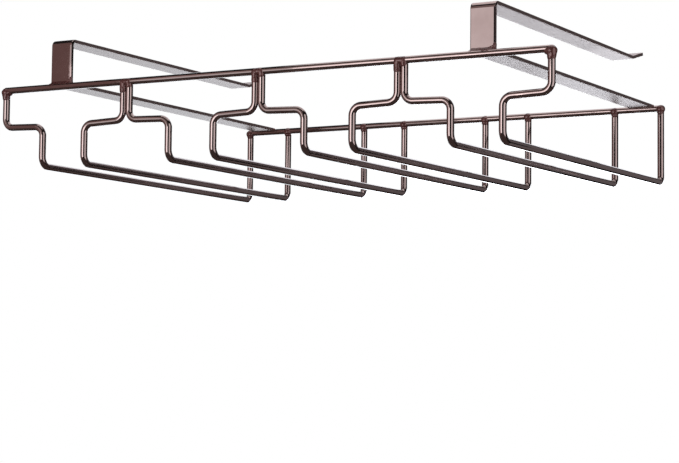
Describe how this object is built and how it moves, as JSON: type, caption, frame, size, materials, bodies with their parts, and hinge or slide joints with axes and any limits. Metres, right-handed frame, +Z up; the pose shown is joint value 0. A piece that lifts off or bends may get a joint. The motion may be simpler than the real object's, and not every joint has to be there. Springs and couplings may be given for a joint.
{
  "type": "hanging wine glass rack",
  "caption": "Welded wire rack that hooks over a shelf by C-shaped strip brackets and holds stemmed glasses upside down by the foot in open slots.",
  "frame": {"origin": "middle of the footprint, level with the underside of the slot wires", "axes": "+X along the rails to the right, +Y from the front rail to the rear rail, +Z up"},
  "size_m": [0.433, 0.2864, 0.0977],
  "materials": {
    "wire": "dark bronze, glossy, lightly mottled",
    "strip": "dark bronze, glossy and smooth",
    "weld": "dark bronze, satin and lumpy"
  },
  "bodies": {
    "root": {"front_rail": "wire", "rear_rail": "wire", "slot_1_left_wire": "wire", "slot_1_right_wire": "wire", "slot_2_left_wire": "wire", "slot_2_right_wire": "wire", "slot_3_left_wire": "wire", "slot_3_right_wire": "wire", "slot_4_left_wire": "wire", "slot_4_right_wire": "wire", "front_left_end_weld": "weld", "front_right_end_weld": "weld", "front_pair_1_weld": "weld", "front_pair_2_weld": "weld", "front_pair_3_weld": "weld", "rear_1_weld": "weld", "rear_2_weld": "weld", "rear_3_weld": "weld", "rear_4_weld": "weld", "rear_5_weld": "weld", "rear_6_weld": "weld", "rear_7_weld": "weld", "rear_8_weld": "weld", "left_bracket": "strip", "right_bracket": "strip", "left_bracket_foot_weld": "weld", "right_bracket_foot_weld": "weld", "left_bracket_rear_weld": "weld", "right_bracket_rear_weld": "weld"}
  },
  "joints": []
}
